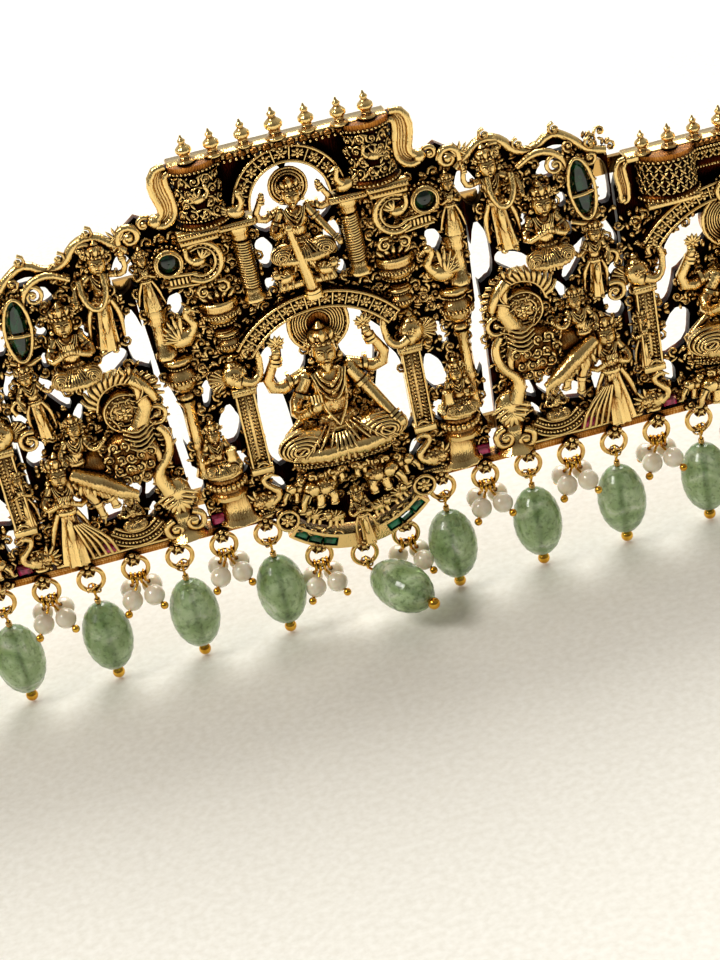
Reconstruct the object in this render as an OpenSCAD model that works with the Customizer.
// Oddiyanam: a waist belt with a stiff openwork front of five panels,
// a row of bead drops under it, and a plain chain that closes the loop behind.
// X runs along the front, the front looks towards -Y, +Z is up.
// The origin is the middle of the waist, halfway up the side panels.

/* [Waist loop] */
// Radius of the loop, to the middle of the chain
loop_r = 121; // [112:1:135]
// Height of the waist's middle over the bottom rail
waist_rise = 25; // [20:1:30]
// Height of the chain's ends over the bottom rail
chain_low = 34; // [28:1:38]
// Height of the chain over the bottom rail at the small of the back
chain_high = 47; // [42:1:54]

/* [Panels] */
// Width of the centre panel at half the height of the rider panels
centre_w = 50; // [46:0.5:56]
// Height of the centre panel's finial shelf over the bottom rail
centre_h = 60; // [55:0.5:66]
// Width of a rider panel at half its height
rider_w = 24; // [22:0.5:27]
// Height of a rider panel up to its vine rail
rider_h = 50; // [46:0.5:54]
// Width of an arch panel
arch_w = 35; // [32:0.5:39]
// Height of an arch panel's finial shelf over the bottom rail
arch_h = 44; // [41:0.5:48]
// How far the seams beside the centre panel lean out between half height and the top
seam_lean = 1.4; // [0.8:0.1:2]
// Gap kept between two soldered pieces
seam_gap = 0.12; // [0.1:0.01:0.3]
// Thickness of the pierced plates
plate_t = 1.6; // [1.3:0.1:2.2]
// Depth of the cast bands in front of the plates
band_d = 2.2; // [1.8:0.1:3]
// Height of the bottom rail
rail_h = 1.2; // [0.9:0.1:1.8]
// Outer radius of the arc under the centre panel
arc_out = 16.6; // [15.6:0.1:18]
// Width of the band of that arc
arc_w = 2.5; // [2.2:0.1:3]
// Thickness of a strap behind a seam
strap_t = 1; // [0.8:0.1:1.4]

/* [Stones] */
// Radius of a round green cabochon
cabochon_r = 1.55; // [1.2:0.05:1.9]
// Wall of the collars that hold the stones
bezel_wall = 0.55; // [0.4:0.05:0.8]
// Clearance of a stone in its collar
stone_gap = 0.12; // [0.1:0.01:0.2]
// Height of a leaf-shaped stone
leaf_h = 9.4; // [8:0.2:10.4]
// Width of a leaf-shaped stone
leaf_w = 3.4; // [2.8:0.1:4]
// Height of a red stone over the bottom rail
ruby_h = 1.6; // [1.3:0.1:2]
// Width of a red stone
ruby_w = 2.2; // [1.8:0.1:2.6]
// Length of a green stone in the bottom arc
baguette_l = 2.2; // [1.8:0.1:2.4]
// Height of a green stone in the bottom arc
baguette_h = 1.3; // [1:0.1:1.5]

/* [Drops] */
// Distance between two jump rings
ring_pitch = 7.3; // [7:0.1:7.8]
// Radius of a jump ring, to the middle of its wire
ring_r = 2; // [1.9:0.05:2.2]
// Thickness of a jump ring's wire
ring_wire = 0.8; // [0.6:0.05:0.9]
// Thickness of a head pin's wire
pin_wire = 0.45; // [0.35:0.05:0.5]
// Length of the wrapped wire over a green bead
pin_neck = 1.6; // [1:0.1:2.4]
// Diameter of the ball under a green bead
pin_ball = 2; // [1.6:0.1:2.4]
// Diameter of a green oval bead
green_w = 8.1; // [7:0.1:8.4]
// Length of a green oval bead
green_h = 12.6; // [11:0.1:13.4]
// Diameter of a pearl
pearl_d = 3.4; // [2.8:0.1:3.5]
// Diameter of the ball under a pearl
pearl_ball = 1.3; // [1:0.1:1.5]
// Clearance of a bead round its pin
bore_gap = 0.15; // [0.1:0.01:0.2]

/* [Chain] */
// Outer length of a chain link
link_l = 11.6; // [10:0.2:13]
// Outer width of a chain link
link_w = 7.6; // [6.8:0.2:9]
// Thickness of a chain link's wire
link_wire = 1.7; // [1.4:0.1:2]
// Play between two links
link_play = 0.3; // [0.2:0.05:0.5]
// Length of an end plate past the front
plate_l = 16; // [14:0.5:20]
// Height of an end plate at the front
plate_h = 26; // [20:0.5:30]
// Thickness of an end plate
plate_thick = 1.2; // [1:0.1:1.4]
// Outer length of the hook that closes the chain
hook_l = 17; // [15:0.5:20]

/* [Hidden] */
$fa = 6;
$fs = 0.25;
gold = "#b58a3a";
dark_gold = "#8a6326";
green = "#1f5a3c";
jade = "#8fb58a";
red = "#a3123f";
cream = "#efe6d2";

// Each panel is drafted on a squared grid of so many columns and rows
centre_cols = 50;
centre_rows = 60;
rider_cols = 24;
rider_rows = 50;
arch_cols = 35;
arch_rows = 44;
front_half = centre_w / 2 + rider_w + arch_w;
front_y = -sqrt(loop_r * loop_r - front_half * front_half);
rail_z = -waist_rise;
rider_x = centre_w / 2 + rider_w / 2;
arch_x = centre_w / 2 + rider_w + arch_w / 2;
foot = rail_h / 2 + seam_gap;
lean_angle = atan2(seam_lean, rider_h / 2);
// Sides of the cast forms of the panels, whose fine chasing is not modelled here
cast_sides = 6;
wire_sides = 4;
arc_sides = 8;
band_sides = 20;
disc_sides = 10;
// Larger than any panel, for cuts
beyond = 60;

// Moves its children to column i and row j of the panel's grid, y in front of the plate
module at(i, j, y = 0) translate([i * $gx, y, j * $gz]) children();
function grid(i, j, y = 0) = [i * $gx, y, j * $gz];
module on_centre_grid() {
    $gx = centre_w / centre_cols;
    $gz = centre_h / centre_rows;
    children();
}
module on_rider_grid() {
    $gx = rider_w / rider_cols;
    $gz = rider_h / rider_rows;
    children();
}
module on_arch_grid() {
    $gx = arch_w / arch_cols;
    $gz = arch_h / arch_rows;
    children();
}
module on_front(x = 0) translate([x, front_y, rail_z]) children();
module mirrored() {
    children();
    mirror([1, 0, 0]) children();
}
// Right side as drawn, left side as its mirror image
module on_side(side) mirror([side < 0 ? 1 : 0, 0, 0]) children();

// Flat shape in X and Z between y = -front and y = back
module slab(front, back) translate([0, back, 0]) rotate([90, 0, 0]) linear_extrude(front + back) children();
module disc(r, front, back = 0) translate([0, back, 0]) rotate([90, 0, 0]) cylinder(h = front + back, r = r);
module knob(r) sphere(r = r, $fn = cast_sides);
// Six-cornered joint that the slim cast bars are hulled over
module nub(r) polyhedron([[r, 0, 0], [-r, 0, 0], [0, r, 0], [0, -r, 0], [0, 0, r], [0, 0, -r]],
    [[0, 4, 2], [2, 4, 1], [1, 4, 3], [3, 4, 0], [2, 5, 0], [1, 5, 2], [3, 5, 1], [0, 5, 3]]);
// Cast bar between two points, from radius ra to radius rb: a slim limb, or a round trunk
module limb(a, b, ra, rb) {
    hull() {
        translate(a) nub(ra * 1.15);
        translate(b) nub(rb * 1.15);
    }
}
module trunk(a, b, ra, rb) {
    hull() {
        translate(a) knob(ra);
        translate(b) knob(rb);
    }
}
// Cast wire along an arc in X and Z
module wire_arc(r, wire, from, to) {
    rotate([90, 0, 0]) rotate([0, 0, from]) rotate_extrude(angle = to - from, $fn = arc_sides)
        translate([r, 0]) circle(r = wire, $fn = wire_sides);
}
// Flat band along an arc in X and Z, between two radii
module band_arc(r_in, r_out, from, to, front, back = 0) {
    translate([0, back, 0]) rotate([90, 0, 0]) rotate([0, 0, from])
        rotate_extrude(angle = to - from) translate([r_in, 0]) square([r_out - r_in, front + back]);
}
// Everything stops at the back of the plates and over the bottom rail
module behind_cut() translate([-beyond, plate_t, -beyond]) cube([2 * beyond, beyond, 3 * beyond]);
module below_cut() translate([-beyond, -beyond / 2, foot - beyond]) cube([2 * beyond, beyond, beyond]);

// Piercings: one row for each gap, with its column, row, width, height and lean, in grid squares and degrees
// A wide gap has six corners and a narrow slot four
wide_gap = 2.3;
function oval(w, h, sides, grow) = [for (k = [0 : sides - 1])
    [grow * w / 2 * cos(360 * (k + 0.5) / sides), grow * h / 2 * sin(360 * (k + 0.5) / sides)]];
module gaps(rows) {
    for (g = rows)
        at(g[0], g[1]) rotate([0, g[4], 0]) slab(beyond, beyond)
            polygon(g[2] < wide_gap ? oval(g[2] * $gx, g[3] * $gz, 4, 1.25) : oval(g[2] * $gx, g[3] * $gz, 6, 1));
}

// Turned forms of height h and radius r
module finial(h) {
    rotate_extrude() polygon([[0, 0], [0.33 * h, 0], [0.33 * h, 0.07 * h], [0.2 * h, 0.14 * h],
        [0.18 * h, 0.3 * h], [0.29 * h, 0.42 * h], [0.27 * h, 0.56 * h], [0.1 * h, 0.74 * h], [0.14 * h, 0.83 * h],
        [0.04 * h, h], [0, h]]);
}
module pot(h, r) {
    rotate_extrude(angle = 360) polygon([[0, 0], [0.5 * r, 0], [0.95 * r, 0.45 * h], [0.6 * r, 0.78 * h],
        [r, h], [0, h]]);
}
module pedestal(h, r) {
    rotate_extrude(angle = 360) polygon([[0, 0], [r, 0], [0.8 * r, 0.3 * h], [0.8 * r, 0.7 * h],
        [r, h], [0, h]]);
}
module column(h, r) {
    rotate_extrude(angle = 360) polygon([[0, 0], [1.3 * r, 0], [r, 0.15 * h], [r, 0.85 * h],
        [1.3 * r, h], [0, h]]);
}

// Figures, drawn ten units tall
unit_height = 10;
module seated_figure(h) {
    scale(h / unit_height) {
        limb([0, -0.4, 1.2], [0, -0.6, 5.1], 1.7, 1.9);
        limb([0, -0.8, 7.3], [0, -0.8, 9.2], 1.2, 0.6);
        limb([-3.3, -0.9, 1.1], [3.3, -0.9, 1.1], 1.3, 1.3);
        for (side = [-1, 1]) limb([side * 1.6, -0.6, 5.6], [side * 2.4, -1.3, 3.2], 0.8, 0.7);
        limb([-2.4, -1.3, 3.3], [1.2, -2, 3.9], 0.7, 0.7);
    }
}
// The main figures have a second pair of hands, raised
module deity(h) {
    scale(h / unit_height) {
        trunk([0, -0.4, 1.4], [0, -0.6, 5.1], 1.3, 1.6);
        trunk([0, -0.8, 7.2], [0, -0.8, 9.4], 1.1, 0.5);
        limb([-3.4, -0.9, 1.1], [3.4, -0.9, 1.1], 1.2, 1.2);
        limb([-2.4, -1.7, 0.5], [2.4, -1.7, 0.5], 0.8, 0.8);
        for (side = [-1, 1]) {
            limb([side * 1.5, -0.6, 5.7], [side * 2.6, -0.9, 3.4], 0.7, 0.6);
            limb([side * 1.5, -0.2, 5.6], [side * 3.6, -0.3, 5.1], 0.65, 0.6);
            limb([side * 3.6, -0.3, 5.1], [side * 3.1, -0.3, 8.3], 0.55, 0.75);
        }
        limb([-2.6, -0.9, 3.4], [-1.1, -2, 4.2], 0.6, 0.65);
        limb([2.6, -0.9, 3.4], [3.6, -1.7, 1.2], 0.6, 0.5);
    }
}
module standing_figure(h, skirt = 1.7) {
    scale(h / unit_height) {
        translate([0, -0.4, 0]) cylinder(h = 5, r1 = skirt, r2 = 0.9);
        limb([0, -0.4, 4.6], [0, -0.5, 6.3], 1, 1.4);
        limb([0, -0.7, 8], [0, -0.6, 9.5], 1, 0.5);
        for (side = [-1, 1]) limb([side * 1.2, -0.5, 6.4], [side * 0.4, -1.7, 5.5], 0.6, 0.6);
    }
}
// Elephant head looking out at +X, its trunk curled up on the inner side, ten units tall
module elephant_head(h) {
    scale(h / unit_height) {
        limb([-0.4, -0.8, 2.6], [0.4, -0.8, 3.4], 2.5, 2.5);
        translate([2.8, 0, 3]) disc(2.4, 1.4, 0.6);
        translate([-1.1, -1.1, 5.2]) wire_arc(2.8, 1, 70, 240);
    }
}
// Swan looking in at -X, a ring on its head, ten units tall
module swan(h) {
    scale(h / unit_height) {
        limb([0.8, -0.6, 2], [2.2, -0.6, 2.6], 1.9, 1.5);
        translate([1.6, -0.9, 5]) wire_arc(2.5, 0.9, 100, 250);
        translate([0.6, -1, 8.2]) wire_arc(1.2, 0.6, 0, 360);
    }
}
module peacock(h) {
    scale(h / unit_height) {
        limb([0, -0.5, 2.6], [0, -0.5, 3.8], 1.6, 1.2);
        limb([0.1, -0.6, 4.2], [0.9, -0.8, 6.4], 1, 0.7);
        limb([0.9, -0.8, 6.4], [-0.3, -0.8, 8.2], 0.7, 0.6);
        translate([0, -0.8, 9]) wire_arc(0.75, 0.4, -60, 230);
        translate([0, -0.3, 0]) cylinder(h = 1.9, r1 = 1.7, r2 = 1.2);
    }
}
// Curled leaf at the end of a finial shelf: a broad ribbon that bends out and down from the origin beside the drum,
// its ball at the foot
module shelf_scroll(width, depth, drop, ball_out, ball_r) {
    translate([0, -0.5, -width]) rotate([90, 0, 0]) rotate_extrude(angle = 90) square([width, depth]);
    translate([0.1, -0.45 - depth, -drop]) cube([width - 0.15, depth - 0.1, drop - 0.8 * width]);
    translate([ball_out, -0.5 - depth / 2, -drop + ball_r / 2]) sphere(r = ball_r);
}

// Round stones and their collars; the seats are many-sided, so they are drawn round their clearance
round_seat_r = (cabochon_r + stone_gap) / cos(180 / disc_sides);
seat_floor = 1;
module round_bezel() disc(round_seat_r + bezel_wall, band_d + 0.4, plate_t);
module round_seat() translate([0, -seat_floor, 0]) disc(round_seat_r, 2 * band_d);
module cabochon() {
    girdle = 0.8;
    dome_r = 2 * cabochon_r;
    translate([0, -seat_floor - stone_gap, 0]) rotate([90, 0, 0]) intersection() {
        translate([0, 0, girdle - sqrt(dome_r * dome_r - cabochon_r * cabochon_r)]) sphere(r = dome_r);
        cylinder(h = dome_r, r = cabochon_r);
    }
}
cabochon_col = 19.7;
cabochon_row = 46.5;
arch_cabochon_row = 36;

// Step-cut stones: a table inside a sloping border
stone_depth = 0.9;
stone_bevel = 0.35;
stone_back = 0.5;
module step_cut(w, h) {
    translate([0, -stone_back - stone_gap, 0]) hull() {
        translate([-w / 2, -stone_depth / 2, -h / 2]) cube([w, stone_depth / 2, h]);
        translate([-w / 2 + stone_bevel, -stone_depth, -h / 2 + stone_bevel])
            cube([w - 2 * stone_bevel, stone_depth, h - 2 * stone_bevel]);
    }
}
module stone_seat(w, h) {
    translate([-w / 2 - stone_gap, -stone_back - beyond, -h / 2 - stone_gap])
        cube([w + 2 * stone_gap, beyond, h + 2 * stone_gap]);
}
ruby_row = foot + 0.3 + ruby_h / 2;
centre_ruby_cols = [21.9];
rider_ruby_cols = [-8, 2.6];
arch_ruby_cols = [-13, 13];
module ruby_places(cols) for (i = cols) translate([i * $gx, 0, ruby_row]) children();
// Box collar on the plate that each red stone sits in
module ruby_box() {
    wide = ruby_w + 2 * bezel_wall;
    high = ruby_h + 2 * bezel_wall;
    translate([-wide / 2, -stone_back - 0.5, -high / 2]) cube([wide, stone_back + 0.5 + plate_t, high]);
}
arc_rise = arc_out - 8.9;
arc_half = 45;
rail_start = arc_out * sin(arc_half) + 0.3;
baguette_angles = [20.5, 29.5, 38.5];
module baguette_places() {
    for (a = baguette_angles)
        translate([0, -band_d + 1.4, arc_rise]) rotate([0, -a, 0]) translate([0, 0, -arc_out + arc_w / 2]) children();
}

// Leaf-shaped stone in two halves: pointed at the top and the foot, fuller on its outer side
leaf_sides = 5;
leaf_vein = 0.7;
leaf_cut = -0.8;
leaf_col = 6.7;
leaf_row = 42;
function leaf_edge(grow) = [
    for (k = [0 : leaf_sides]) let (t = k / leaf_sides)
        [(leaf_w / 2 + grow) * sin(180 * t) + 0.8 * t - 0.4, (leaf_h / 2 + grow) * cos(180 * t)],
    for (k = [leaf_sides - 1 : -1 : 1]) let (t = k / leaf_sides)
        [-(leaf_w / 2 + grow) * 0.9 * sin(180 * t) + 0.8 * t - 0.4, (leaf_h / 2 + grow) * cos(180 * t)]];
module leaf_half(upper) {
    intersection() {
        hull() {
            slab(1.6, -0.7 - stone_gap) polygon(leaf_edge(-stone_gap));
            slab(2.2, -0.7 - stone_gap) polygon(leaf_edge(-stone_gap - leaf_w * 0.18));
        }
        translate([-leaf_w, -band_d - 1, upper ? leaf_cut + leaf_vein / 2 + stone_gap : leaf_cut - leaf_h])
            cube([2 * leaf_w, band_d + 1, upper ? leaf_h : leaf_h - leaf_vein / 2 - stone_gap]);
    }
}
module leaf_place() at(leaf_col, leaf_row) children();
module leaf_bezel() slab(band_d, plate_t) polygon(leaf_edge(bezel_wall));
module leaf_seat() {
    difference() {
        slab(2 * band_d, -0.7) polygon(leaf_edge(0));
        translate([-leaf_w, -band_d, leaf_cut - leaf_vein / 2]) cube([2 * leaf_w, 2 * band_d, leaf_vein]);
    }
}

// Seated figure in its arch on a lotus seat, which the centre panel and the arch panels share
module shrine(pillar_col, arch_r, arch_row, arch_in) {
    translate([0, 0, arch_row * $gz]) scale([$gx, 1, $gz])
        band_arc(arch_in, arch_r, 38, 142, band_d, plate_t, $fn = band_sides);
    at(0, 30.9) disc(4.4, 0.9, 0.1, $fn = disc_sides);
    at(0, 8.8) deity(24 * $gz);
    limb(grid(-7, 8, -0.8), grid(7, 8, -0.8), 1.8, 1.8);
    limb(grid(-5.6, 5.9, -1.2), grid(5.6, 5.9, -1.2), 1.5, 1.5);
    mirrored() {
        at(pillar_col - 1.6, 9, -1.6) cube([3.2 * $gx, 1.6 + plate_t, 14 * $gz]);
        at(pillar_col + 0.6, 22.6) elephant_head(7.6 * $gz);
        at(pillar_col, foot, -0.4) swan(9 * $gz);
        limb(grid(5.4, 3.2, -1), grid(9.2, 1.8, -1.6), 2.6, 1.3);
    }
}

// Centre panel
centre_outline = [[0, -6], [5, -5.1], [8, -3.5], [9.6, -2], [11.4, -1.2], [11.6, 0], [24.4, 0], [27, 50],
    [25.4, 52.6], [23, 54.2], [20.6, 52.6], [19.8, 51], [17.6, 52.4], [17.2, 60.4], [0, 60.4]];
centre_gaps = [
    [3.2, 52, 6.4, 11, -12], [5.3, 43.7, 2.6, 5, 0], [5.5, 38.4, 1.6, 2.4, 0], [20.2, 39, 2.4, 3.8, -8],
    [5.4, 26.4, 5.4, 12.4, -8], [9.6, 15.6, 5.4, 16, 0], [8.9, 26, 2.4, 5.6, -26], [11.3, 5.2, 1.4, 3.6, 30],
    [18.9, 23.4, 1.5, 4.6, -12], [16.7, 17, 3.4, 6.8, -14], [16.6, 10.2, 2.8, 4, -18],
    [24.4, 21.4, 2.4, 13.4, 10], [23.7, 9, 1.8, 5.4, 0], [25.7, 46.2, 2, 5.4, 12]
];
module centre_relief() {
    mirrored() {
        at(8.4, 36.8, -0.6) column(12.8 * $gz, 1.5 * $gx);
        at(7.9, 53.2, -2) knob(1.3);
        ruby_places(centre_ruby_cols) ruby_box();
    }
    // Upper arch with its seated figure, and the spire in front of it
    at(0, 51.4) band_arc(6 * $gx, 8.7 * $gx, 0, 180, band_d, plate_t, $fn = band_sides);
    at(0, 40.6) deity(16.2 * $gz);
    limb(grid(-3.8, 38.2, -0.8), grid(3.8, 38.2, -0.8), 1.4, 1.4);
    trunk(grid(0.2, 36.6, -2.8), grid(-0.8, 47, -2.9), 1.1, 0.5);
    // Bezel, crescent, pots, bird, folded-hands figure and musician beside the arches
    mirrored() {
        at(cabochon_col, cabochon_row) round_bezel($fn = disc_sides);
        at(15, 45.6) band_arc(2.4, 3.5, 120, 290, 1.8, plate_t, $fn = disc_sides);
        limb(grid(15.4, 45.6, -0.9), grid(16.4, 47.2, -0.9), 1.5, 1);
        limb(grid(15.4, 43.6, -0.9), grid(20.2, 44.4, -1), 0.9, 0.7);
        at(13.6, 30.6, 0.2) pot(8 * $gz, 3.3 * $gx);
        trunk(grid(20.2, 34.6, -0.8), grid(22.2, 38.4, -1), 2.2, 0.9);
        at(23.2, 31.4, 0.2) cylinder(h = 9.2 * $gz, r = 1.9 * $gx);
        at(23.4, 40) standing_figure(9.6 * $gz, 2.1);
        at(22, 23.8) pot(7 * $gz, 2.7 * $gx);
        at(22, 9.8, 0.2) cylinder(h = 14.4 * $gz, r = 1.4 * $gx);
        at(19.4, 9.3) seated_figure(10.8 * $gz);
        at(19.2, 5.4, 0.3) pedestal(4.8 * $gz, 3.2 * $gx);
        at(18.2, foot, 0.3) cylinder(h = 5 * $gz, r1 = 3.6 * $gx, r2 = 2.4 * $gx);
        at(24.4, 51.4, -0.6) wire_arc(1.9, 0.8, -20, 200);
    }
    shrine(13.4, 16.4, 19.9, 13.6);
    trunk(grid(0, 1.4, -1.6), grid(0.6, -2.6, -2.2), 2.2, 1);
}
function both_halves(points) = concat([for (p = points) [p[0] * $gx, p[1] * $gz]],
    [for (k = [len(points) - 1 : -1 : 0]) if (points[k][0] > 0) [-points[k][0] * $gx, points[k][1] * $gz]]);
module centre_edges() {
    mirrored() translate([centre_w / 2, -beyond / 2, rider_h / 2]) rotate([0, lean_angle, 0])
        translate([0, 0, -beyond]) cube([beyond, beyond, 2 * beyond]);
}
module centre_panel() {
    $fn = cast_sides;
    on_centre_grid() difference() {
        union() {
            difference() {
                slab(0, plate_t) polygon(both_halves(centre_outline));
                mirrored() gaps(centre_gaps);
            }
            centre_relief();
        }
        below_arc_cut();
        mirrored() at(cabochon_col, cabochon_row) round_seat($fn = disc_sides);
        mirrored() ruby_places(centre_ruby_cols) stone_seat(ruby_w, ruby_h);
        behind_cut();
        centre_edges();
        translate([0, 0, centre_h - seam_gap]) shelf_room(centre_w * 0.35);
    }
}
// Nothing reaches the rail or the bottom arc: between them the panel comes down inside the arc
module below_arc_cut() {
    difference() {
        below_cut();
        translate([0, 0, arc_rise]) disc(arc_out - arc_w - seam_gap, beyond, beyond, $fn = band_sides);
        translate([-rail_start + 2 * seam_gap, -beyond, -1.3]) cube([2 * rail_start - 4 * seam_gap, 2 * beyond, 3]);
    }
}
module shelf_room(half) translate([-half, -beyond / 2, 0]) cube([2 * half, beyond, beyond]);

// Rider panel, drawn for the right side
rider_outline = [[-13.4, 0], [12.6, 0], [12.6, 46.5], [9.4, 49.4], [6.6, 50.4], [4.4, 52.2], [1.6, 50.6],
    [-1, 51], [-3.6, 53.8], [-6.4, 54.4], [-8.6, 51.2], [-10.6, 50.2]];
rider_gaps = [
    [-10.1, 45.8, 3.2, 6.6, -16], [-9.9, 34.8, 3.3, 9.8, 3], [-12.3, 21.2, 1.5, 10, 8], [-4.7, 31.8, 3.2, 7.6, -52],
    [2.4, 45.6, 3.8, 2.8, 0], [3.6, 48.4, 4.2, 1.2, 0], [-2.5, 38.1, 1.1, 3, 0], [3.7, 40.2, 1.7, 2.4, 0],
    [4.1, 35.4, 1.4, 2.4, 0], [4.3, 30, 2.2, 7.4, 33], [-0.6, 28, 1.5, 2.2, 0], [1.7, 25.4, 1.4, 3.6, -20],
    [-7.2, 12.4, 2.6, 8.8, -24], [-0.8, 8.8, 3.8, 9, -59], [-5.2, 5.3, 1.3, 4.6, -17], [6.2, 16.4, 2.3, 5, -12],
    [5.7, 9.6, 2.4, 6.4, 8], [9.6, 20.5, 2.8, 4.6, -24], [10.4, 26.2, 2.2, 3.6, 18], [10.5, 33, 1.5, 5, -20],
    [10.3, 41.4, 2.6, 7.6, 0]
];
module rider_relief() {
    // Dancer with a garland, seated figure under a curled arch
    at(-5.6, 35.2) standing_figure(17.6 * $gz, 1.5);
    at(-5.6, 46, -2.2) wire_arc(2.2, 0.6, 180, 360);
    at(0, 31.6) seated_figure(15 * $gz);
    at(1.2, 43.2, -1) wire_arc(5.2, 0.7, 20, 140);
    leaf_place() leaf_bezel();
    // Rearing horse with its fan of mane and round saddle cloth, and its rider
    at(-5.4, 25.6) band_arc(4.4, 6.6, 15, 150, 1.6, plate_t, $fn = disc_sides);
    at(-5.2, 25.2) disc(3.9, 2.2, plate_t, $fn = disc_sides);
    limb(grid(-7, 30, -1), grid(-10, 26.2, -1.3), 1.7, 1.2);
    trunk(grid(-6.2, 19.6, -0.9), grid(1.4, 18.2, -0.9), 2.8, 3);
    limb(grid(-6.8, 18.6, -1), grid(-8.2, 14.4, -1.4), 1.1, 0.8);
    limb(grid(-8.2, 14.4, -1.4), grid(-5.6, 12.9, -1.4), 0.8, 0.7);
    limb(grid(1.8, 16.6, -0.8), grid(3, 11.6, -0.8), 1.6, 1);
    limb(grid(3, 11.6, -0.8), grid(2.2, 6.6, -0.8), 0.95, 0.85);
    at(6, 20.6) standing_figure(15 * $gz, 1.2);
    // Peacock, small figure in a boat, lady with a pleated skirt
    at(-10, foot) peacock(24 * $gz);
    at(-2, 4) seated_figure(7.6 * $gz);
    at(-2, 7.6) band_arc(2.6, 6.4, 215, 325, 1.6, plate_t, $fn = disc_sides);
    at(8.6, foot) standing_figure(20 * $gz, 1.7);
    // Vine rail: curled stems along the top
    for (curl = [[-9.2, 50.6, 1.3], [-3.2, 51.2, 1.5], [4.4, 49.6, 1.4]])
        at(curl[0], curl[1], -0.6) wire_arc(curl[2], 0.7, -40, 220);
    ruby_places(rider_ruby_cols) ruby_box();
}
module rider_edges() {
    translate([-rider_w / 2 + seam_gap, -beyond / 2, rider_h / 2]) rotate([0, lean_angle, 0])
        translate([-beyond, 0, -beyond]) cube([beyond, beyond, 2 * beyond]);
    translate([rider_w / 2, -beyond / 2, -rider_h / 2]) cube([beyond, beyond, 2 * rider_h]);
}
module rider_panel() {
    $fn = cast_sides;
    on_rider_grid() difference() {
        union() {
            difference() {
                slab(0, plate_t) polygon([for (p = rider_outline) [p[0] * $gx, p[1] * $gz]]);
                gaps(rider_gaps);
            }
            rider_relief();
        }
        leaf_place() leaf_seat();
        ruby_places(rider_ruby_cols) stone_seat(ruby_w, ruby_h);
        behind_cut();
        below_cut();
        rider_edges();
    }
}

// Arch panel, the same on both sides of its middle
arch_outline = [[0, 0], [18, 0], [18, 40], [16.2, 44.4], [0, 44.4]];
arch_gaps = [
    [7.4, 28, 5, 12, -46], [11.4, 22.6, 3.4, 9, -12], [10.6, 13.4, 4.6, 8.6, -30], [12.4, 6.8, 2.2, 4.6, 19],
    [16.9, 24, 1, 5, 0]
];
module arch_relief() {
    shrine(15.2, 18.2, 19.5, 15.4);
    at(0, arch_cabochon_row) round_bezel($fn = disc_sides);
    ruby_places(arch_ruby_cols) ruby_box();
}
module arch_panel() {
    $fn = cast_sides;
    on_arch_grid() difference() {
        union() {
            difference() {
                slab(0, plate_t) polygon(both_halves(arch_outline));
                mirrored() gaps(arch_gaps);
            }
            arch_relief();
        }
        at(0, arch_cabochon_row) round_seat($fn = disc_sides);
        ruby_places(arch_ruby_cols) stone_seat(ruby_w, ruby_h);
        behind_cut();
        below_cut();
        mirrored() translate([arch_w / 2 - seam_gap, -beyond / 2, 0]) cube([beyond, beyond, 2 * beyond]);
        translate([0, 0, arch_h - seam_gap]) shelf_room(arch_w / 2);
    }
}

// Finial shelf: a slab over the plate, two drums that bulge under it, its finials and end scrolls
shelf_t = 1.1;
module finial_shelf(half, row, drum_col, drum_r, drum_h, finial_cols, finial_h) {
    difference() {
        union() {
            translate([-half * $gx, -band_d, row * $gz]) cube([2 * half * $gx, band_d + plate_t, shelf_t]);
            mirrored() translate([drum_col * $gx, -seam_gap, row * $gz - drum_h]) {
                cylinder(h = drum_h + shelf_t, r = drum_r);
                cylinder(h = shelf_t, r = drum_r + 0.5);
                translate([0, 0, drum_h - 0.1]) cylinder(h = shelf_t + 0.1, r = drum_r + 0.5);
            }
            mirrored() translate([half * $gx - 0.1, 0, row * $gz + shelf_t - 0.15]) children();
            // Finials on the drums stand further forward than those between them
            for (i = finial_cols)
                translate([i * $gx, abs(abs(i) - drum_col) * $gx < drum_r ? -1.9 : -1.1, row * $gz + shelf_t - 0.05])
                    finial(finial_h * (i == 0 ? 1.15 : 1));
        }
        translate([-beyond, -seam_gap, -beyond]) cube([2 * beyond, beyond, row * $gz + beyond]);
        translate([-beyond, plate_t, -beyond]) cube([2 * beyond, beyond, 4 * beyond]);
    }
}
centre_finials = [-13.6, -9.5, -4.8, 0, 4.8, 9.5, 13.6];
arch_finials = [-12.7, -8.5, -4.2, 0, 4.2, 8.5, 12.7];
module centre_shelf() {
    on_centre_grid() finial_shelf(16.6, 60, 12.95, 3.7, 8.9, centre_finials, 4.1)
        shelf_scroll(2.9, 1.6, 8.4, 3.6, 1.15);
}
module arch_shelf() {
    on_arch_grid() finial_shelf(15.4, 44, 9, 4.5, 6.5, arch_finials, 3.7) shelf_scroll(1.8, 1.4, 7, 1.3, 0.75);
}

// Eyelet under a lower edge that a jump ring hangs in, with a rosette of grains on its front
eyelet_r = 1.1;
eyelet_wire = 0.4;
eyelet_drop = 0.55;
eyelet_y = -0.1;
grain_r = 0.42;
grain_ring = 0.95;
module eyelet() {
    translate([0, eyelet_y, -eyelet_drop]) {
        rotate([0, 90, 0]) rotate_extrude() translate([eyelet_r, 0]) circle(r = eyelet_wire);
        translate([0, -eyelet_r - eyelet_wire + 0.15, 0.25]) {
            disc(grain_ring + 0.25, 0.5, 0.3);
            translate([0, -0.5, 0]) sphere(r = grain_r * 1.2);
            for (a = [0 : 60 : 300])
                translate([grain_ring * sin(a), -0.5, grain_ring * cos(a)]) sphere(r = grain_r);
        }
    }
}

// Drops: place k counts rings from the middle, to both sides
drop_shift = -0.25;
last_drop = 11;
arc_drops = 1;
function drop_x(k) = k * ring_pitch + drop_shift;
function edge_z(k) = abs(k) <= arc_drops
    ? arc_rise - sqrt(arc_out * arc_out - drop_x(k) * drop_x(k)) : -rail_h / 2;
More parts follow.
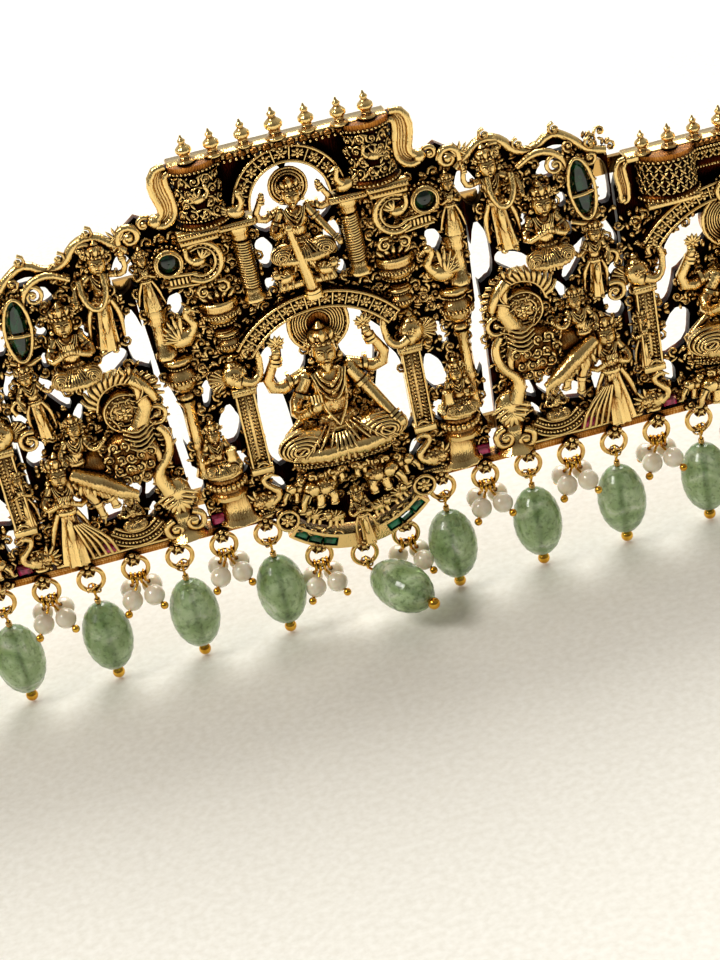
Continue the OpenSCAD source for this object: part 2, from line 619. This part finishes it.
// The ring hangs in the eyelet's foot
ring_hang = eyelet_drop + eyelet_r - eyelet_wire - ring_wire / 2 - 0.1;
function ring_centre(k) = [drop_x(k), eyelet_y, edge_z(k) - ring_hang - ring_r];
module at_ring_foot(k) translate(ring_centre(k) - [0, 0, ring_r]) children();
function is_green(k) = k % 2 == 0;
// The rows on the left side run from the outer end to the middle
left_places = [-last_drop : -1];
right_places = [0 : last_drop];

module foot_rail(side) {
    on_side(side) translate([rail_start, -1.3, -rail_h / 2])
        cube([front_half - rail_start, 1.3 + plate_t, rail_h]);
    for (k = [arc_drops + 1 : last_drop]) translate([drop_x(side * k), 0, edge_z(k)]) eyelet();
}
module bottom_arc() {
    difference() {
        union() {
            translate([0, 0, arc_rise])
                band_arc(arc_out - arc_w, arc_out, 270 - arc_half, 270 + arc_half, band_d, plate_t);
            for (k = [-arc_drops : arc_drops]) translate([drop_x(k), 0, edge_z(k)]) eyelet();
        }
        mirrored() baguette_places() stone_seat(baguette_l, baguette_h);
    }
}

// Head pin from a ring's foot along a direction: loop round the ring's wire, straight wire, ball
loop_mid = ring_wire / 2 + 0.2 + pin_wire / 2;
module along(v) rotate([0, 0, atan2(v[1], v[0])]) rotate([0, acos(-v[2] / norm(v)) * -1, 0]) children();
module from_loop_foot(v) translate([0, 0, -loop_mid]) along(v) children();
module head_pin(v, run, ball_d) {
    rotate([0, 90, 0]) rotate_extrude() translate([loop_mid, 0]) circle(r = pin_wire / 2);
    from_loop_foot(v) {
        translate([0, 0, -run]) cylinder(h = run, r = pin_wire / 2);
        translate([0, 0, -run - ball_d / 2 + 0.1]) sphere(r = ball_d / 2);
    }
}
// The middle bead lies forward on what the belt stands on; the others hang straight
lying = [5.5, -9, -1.2];
function green_way(k) = k == 0 ? lying : [0, 0, -1];
green_from = pin_neck + 0.2;
green_run = green_from + green_h + 0.1;
// Four pearls hang under a ring, two before it and two behind, each pin from its own place on the wire
bunch = [[-31, -0.85, 2.1], [-10, -1.8, -2.1], [10, 1.8, -2.1], [31, 0.85, 2.1]];
pearl_from = 1.3;
pearl_run = pearl_from + pearl_d + 0.1;
function bunch_way(row) = [row[1], row[2], -2.5];
// The pin that would touch the lying bead is left off
function hangs(k, row) = !(k == 1 && row[1] < 0 && row[2] < 0);
module bunch_places(k) {
    for (row = bunch)
        if (hangs(k, row))
            translate(ring_centre(k) + [ring_r * sin(row[0]), 0, -ring_r * cos(row[0])]) {
                $way = bunch_way(row);
                children();
            }
}

module jump_rings(places) {
    for (k = places)
        translate(ring_centre(k)) rotate([90, 0, 0]) rotate_extrude() translate([ring_r, 0]) circle(r = ring_wire / 2);
}
module head_pins(places) {
    for (k = places)
        if (is_green(k)) at_ring_foot(k) head_pin(green_way(k), green_run, pin_ball);
        else bunch_places(k) head_pin($way, pearl_run, pearl_ball);
}
module pearls(places) {
    for (k = places)
        if (!is_green(k))
            bunch_places(k) from_loop_foot($way) translate([0, 0, -pearl_from - pearl_d / 2]) difference() {
                sphere(r = pearl_d / 2);
                translate([0, 0, -pearl_d]) cylinder(h = 2 * pearl_d, r = pin_wire / 2 + bore_gap);
            }
}
module green_bead(k) {
    at_ring_foot(k) from_loop_foot(green_way(k)) translate([0, 0, -green_from - green_h / 2]) difference() {
        rotate_extrude() polygon(concat([[0, -green_h / 2]], [for (a = [-75 : 15 : 75])
            [green_w / 2 * cos(a), green_h / 2 * sin(a)]], [[0, green_h / 2]]));
        translate([0, 0, -green_h]) cylinder(h = 2 * green_h, r = pin_wire / 2 + bore_gap);
    }
}

// Straps across the backs of the seams, high and low
strap_w = 7;
strap_h = 2.6;
module seam_strap(x) {
    for (z = [43, 5] * rider_h / rider_rows)
        translate([x - strap_w / 2, plate_t + seam_gap, z - strap_h / 2]) cube([strap_w, strap_t, strap_h]);
}
first_seam = centre_w / 2;
second_seam = centre_w / 2 + rider_w;

// End plate: one leg behind the front's end, one leg along the loop, with a bore for the chain
corner = atan2(front_y, front_half);
bore_r = link_wire / 2 + 0.6;
bore_in = bore_r + 1;
leg = 5;
start_angle = corner + atan2(plate_l - bore_in, loop_r);
leg_foot = [front_half, front_y + plate_t + seam_gap + plate_thick / 2];
bore_spot = loop_r * [cos(start_angle), sin(start_angle)];
reach_out = bore_spot - leg_foot;
leg_l = norm(reach_out);
leg_top = 4;
module end_plate() {
    translate([front_half - leg, leg_foot[1] - plate_thick / 2, rail_z + chain_low - plate_h + leg_top])
        cube([leg + 1.2, plate_thick, plate_h]);
    translate([leg_foot[0], leg_foot[1], rail_z + chain_low]) rotate([0, 0, atan2(reach_out[1], reach_out[0])])
        difference() {
            slab(plate_thick / 2, plate_thick / 2)
                polygon([[0, leg_top - plate_h], [leg_l + bore_in, -bore_in], [leg_l + bore_in, bore_in], [0, leg_top]]);
            translate([leg_l, 0, 0]) disc(bore_r, plate_thick, plate_thick);
        }
}

// Chain: links spaced evenly between the end plate's bore and the hook at the back
hook_wire = link_wire * 1.1;
half_link = (link_l - link_wire) / 2;
half_hook = (hook_l - hook_wire) / 2;
chain_arc = (90 - start_angle) * PI / 180 * loop_r;
first_link = half_link + 0.2;
last_link = chain_arc - half_hook + (hook_wire + link_wire) / 2 + link_play - half_link;
link_pitch_most = link_l - 2 * link_wire - link_play;
link_count = ceil((last_link - first_link) / link_pitch_most) + 1;
link_pitch = (last_link - first_link) / (link_count - 1);
function way(s) = start_angle + s / loop_r * 180 / PI;
function climb(s) = chain_low + (chain_high - chain_low) * (1 - cos(180 * min(1, s / chain_arc))) / 2;
function chain_point(s) = [loop_r * cos(way(s)), loop_r * sin(way(s)), rail_z + climb(s)];
module link(length, width, wire, open = 0) {
    straight = length - width;
    bend = (width - wire) / 2;
    for (end = [-1, 1])
        translate([end * straight / 2, 0, 0]) rotate([0, 0, end * 90 - 180])
            rotate_extrude(angle = 180) translate([bend, 0]) circle(r = wire / 2);
    for (flank = [-1, 1])
        translate([-straight / 2, flank * bend, 0]) rotate([0, 90, 0])
            cylinder(h = flank < 0 && open > 0 ? straight - open : straight, r = wire / 2);
}
module back_chain() {
    for (k = [0 : link_count - 1]) {
        s = first_link + k * link_pitch;
        rise = atan2(climb(s + 1) - climb(s - 1), 2);
        translate(chain_point(s)) rotate([0, 0, way(s) + 90]) rotate([0, -rise, 0])
            rotate([k % 2 == 0 ? 0 : 90, 0, 0]) link(link_l, link_w, link_wire);
    }
}
module chain_hook() {
    translate([0, loop_r, rail_z + chain_high]) rotate([link_count % 2 == 0 ? 0 : 90, 0, 0])
        link(hook_l, link_w + 1, hook_wire, 3);
}

color(gold) on_front() centre_panel();  // centre_shrine
color(gold) on_front(-rider_x) mirror([1, 0, 0]) rider_panel();  // rider_panel_left
color(gold) on_front(rider_x) rider_panel();  // rider_panel_right
color(gold) on_front(-arch_x) arch_panel();  // arch_panel_left
color(gold) on_front(arch_x) arch_panel();  // arch_panel_right
color(gold) on_front() centre_shelf();  // finial_shelf_centre
color(gold) on_front(-arch_x) arch_shelf();  // finial_shelf_left
color(gold) on_front(arch_x) arch_shelf();  // finial_shelf_right
color(dark_gold) on_front() foot_rail(-1);  // foot_rail_left
color(dark_gold) on_front() foot_rail(1);  // foot_rail_right
color(gold) on_front() bottom_arc();
seams = [-second_seam, -first_seam, first_seam, second_seam];
for (k = [1 : len(seams)])
    color(dark_gold) on_front() seam_strap(seams[k - 1]);
color(green) on_front() on_centre_grid() at(-cabochon_col, cabochon_row) cabochon();  // cabochon_1
color(green) on_front() on_centre_grid() at(cabochon_col, cabochon_row) cabochon();  // cabochon_2
color(green) on_front(-arch_x) on_arch_grid() at(0, arch_cabochon_row) cabochon();  // cabochon_3
color(green) on_front(arch_x) on_arch_grid() at(0, arch_cabochon_row) cabochon();  // cabochon_4
for (half = ["upper", "lower"]) {
    color(green) on_front(-rider_x) mirror([1, 0, 0]) on_rider_grid() leaf_place() leaf_half(half == "upper");
    color(green) on_front(rider_x) on_rider_grid() leaf_place() leaf_half(half == "upper");
}
color(green) on_front() mirror([1, 0, 0]) baguette_places() step_cut(baguette_l, baguette_h);  // arc_baguettes_left
color(green) on_front() baguette_places() step_cut(baguette_l, baguette_h);  // arc_baguettes_right
module rubies() {
    on_centre_grid() ruby_places(centre_ruby_cols) step_cut(ruby_w, ruby_h);
    translate([rider_x, 0, 0]) on_rider_grid() ruby_places(rider_ruby_cols) step_cut(ruby_w, ruby_h);
    translate([arch_x, 0, 0]) on_arch_grid() ruby_places(arch_ruby_cols) step_cut(ruby_w, ruby_h);
}
color(red) on_front() mirror([1, 0, 0]) rubies();  // rail_rubies_left
color(red) on_front() rubies();  // rail_rubies_right
color(gold) on_front() jump_rings(left_places);  // jump_rings_left
color(gold) on_front() jump_rings(right_places);  // jump_rings_right
color(gold) on_front() head_pins(left_places);  // head_pins_left
color(gold) on_front() head_pins(right_places);  // head_pins_right
color(cream) on_front() pearls(left_places);  // pearls_left
color(cream) on_front() pearls(right_places);  // pearls_right
for (k = [1 : last_drop])
    color(jade) on_front() green_bead(2 * k - last_drop - 1);
color(dark_gold) mirror([1, 0, 0]) end_plate();  // end_plate_left
color(dark_gold) end_plate();  // end_plate_right
color(gold) mirror([1, 0, 0]) back_chain();  // back_chain_left
color(gold) back_chain();  // back_chain_right
color(dark_gold) chain_hook();
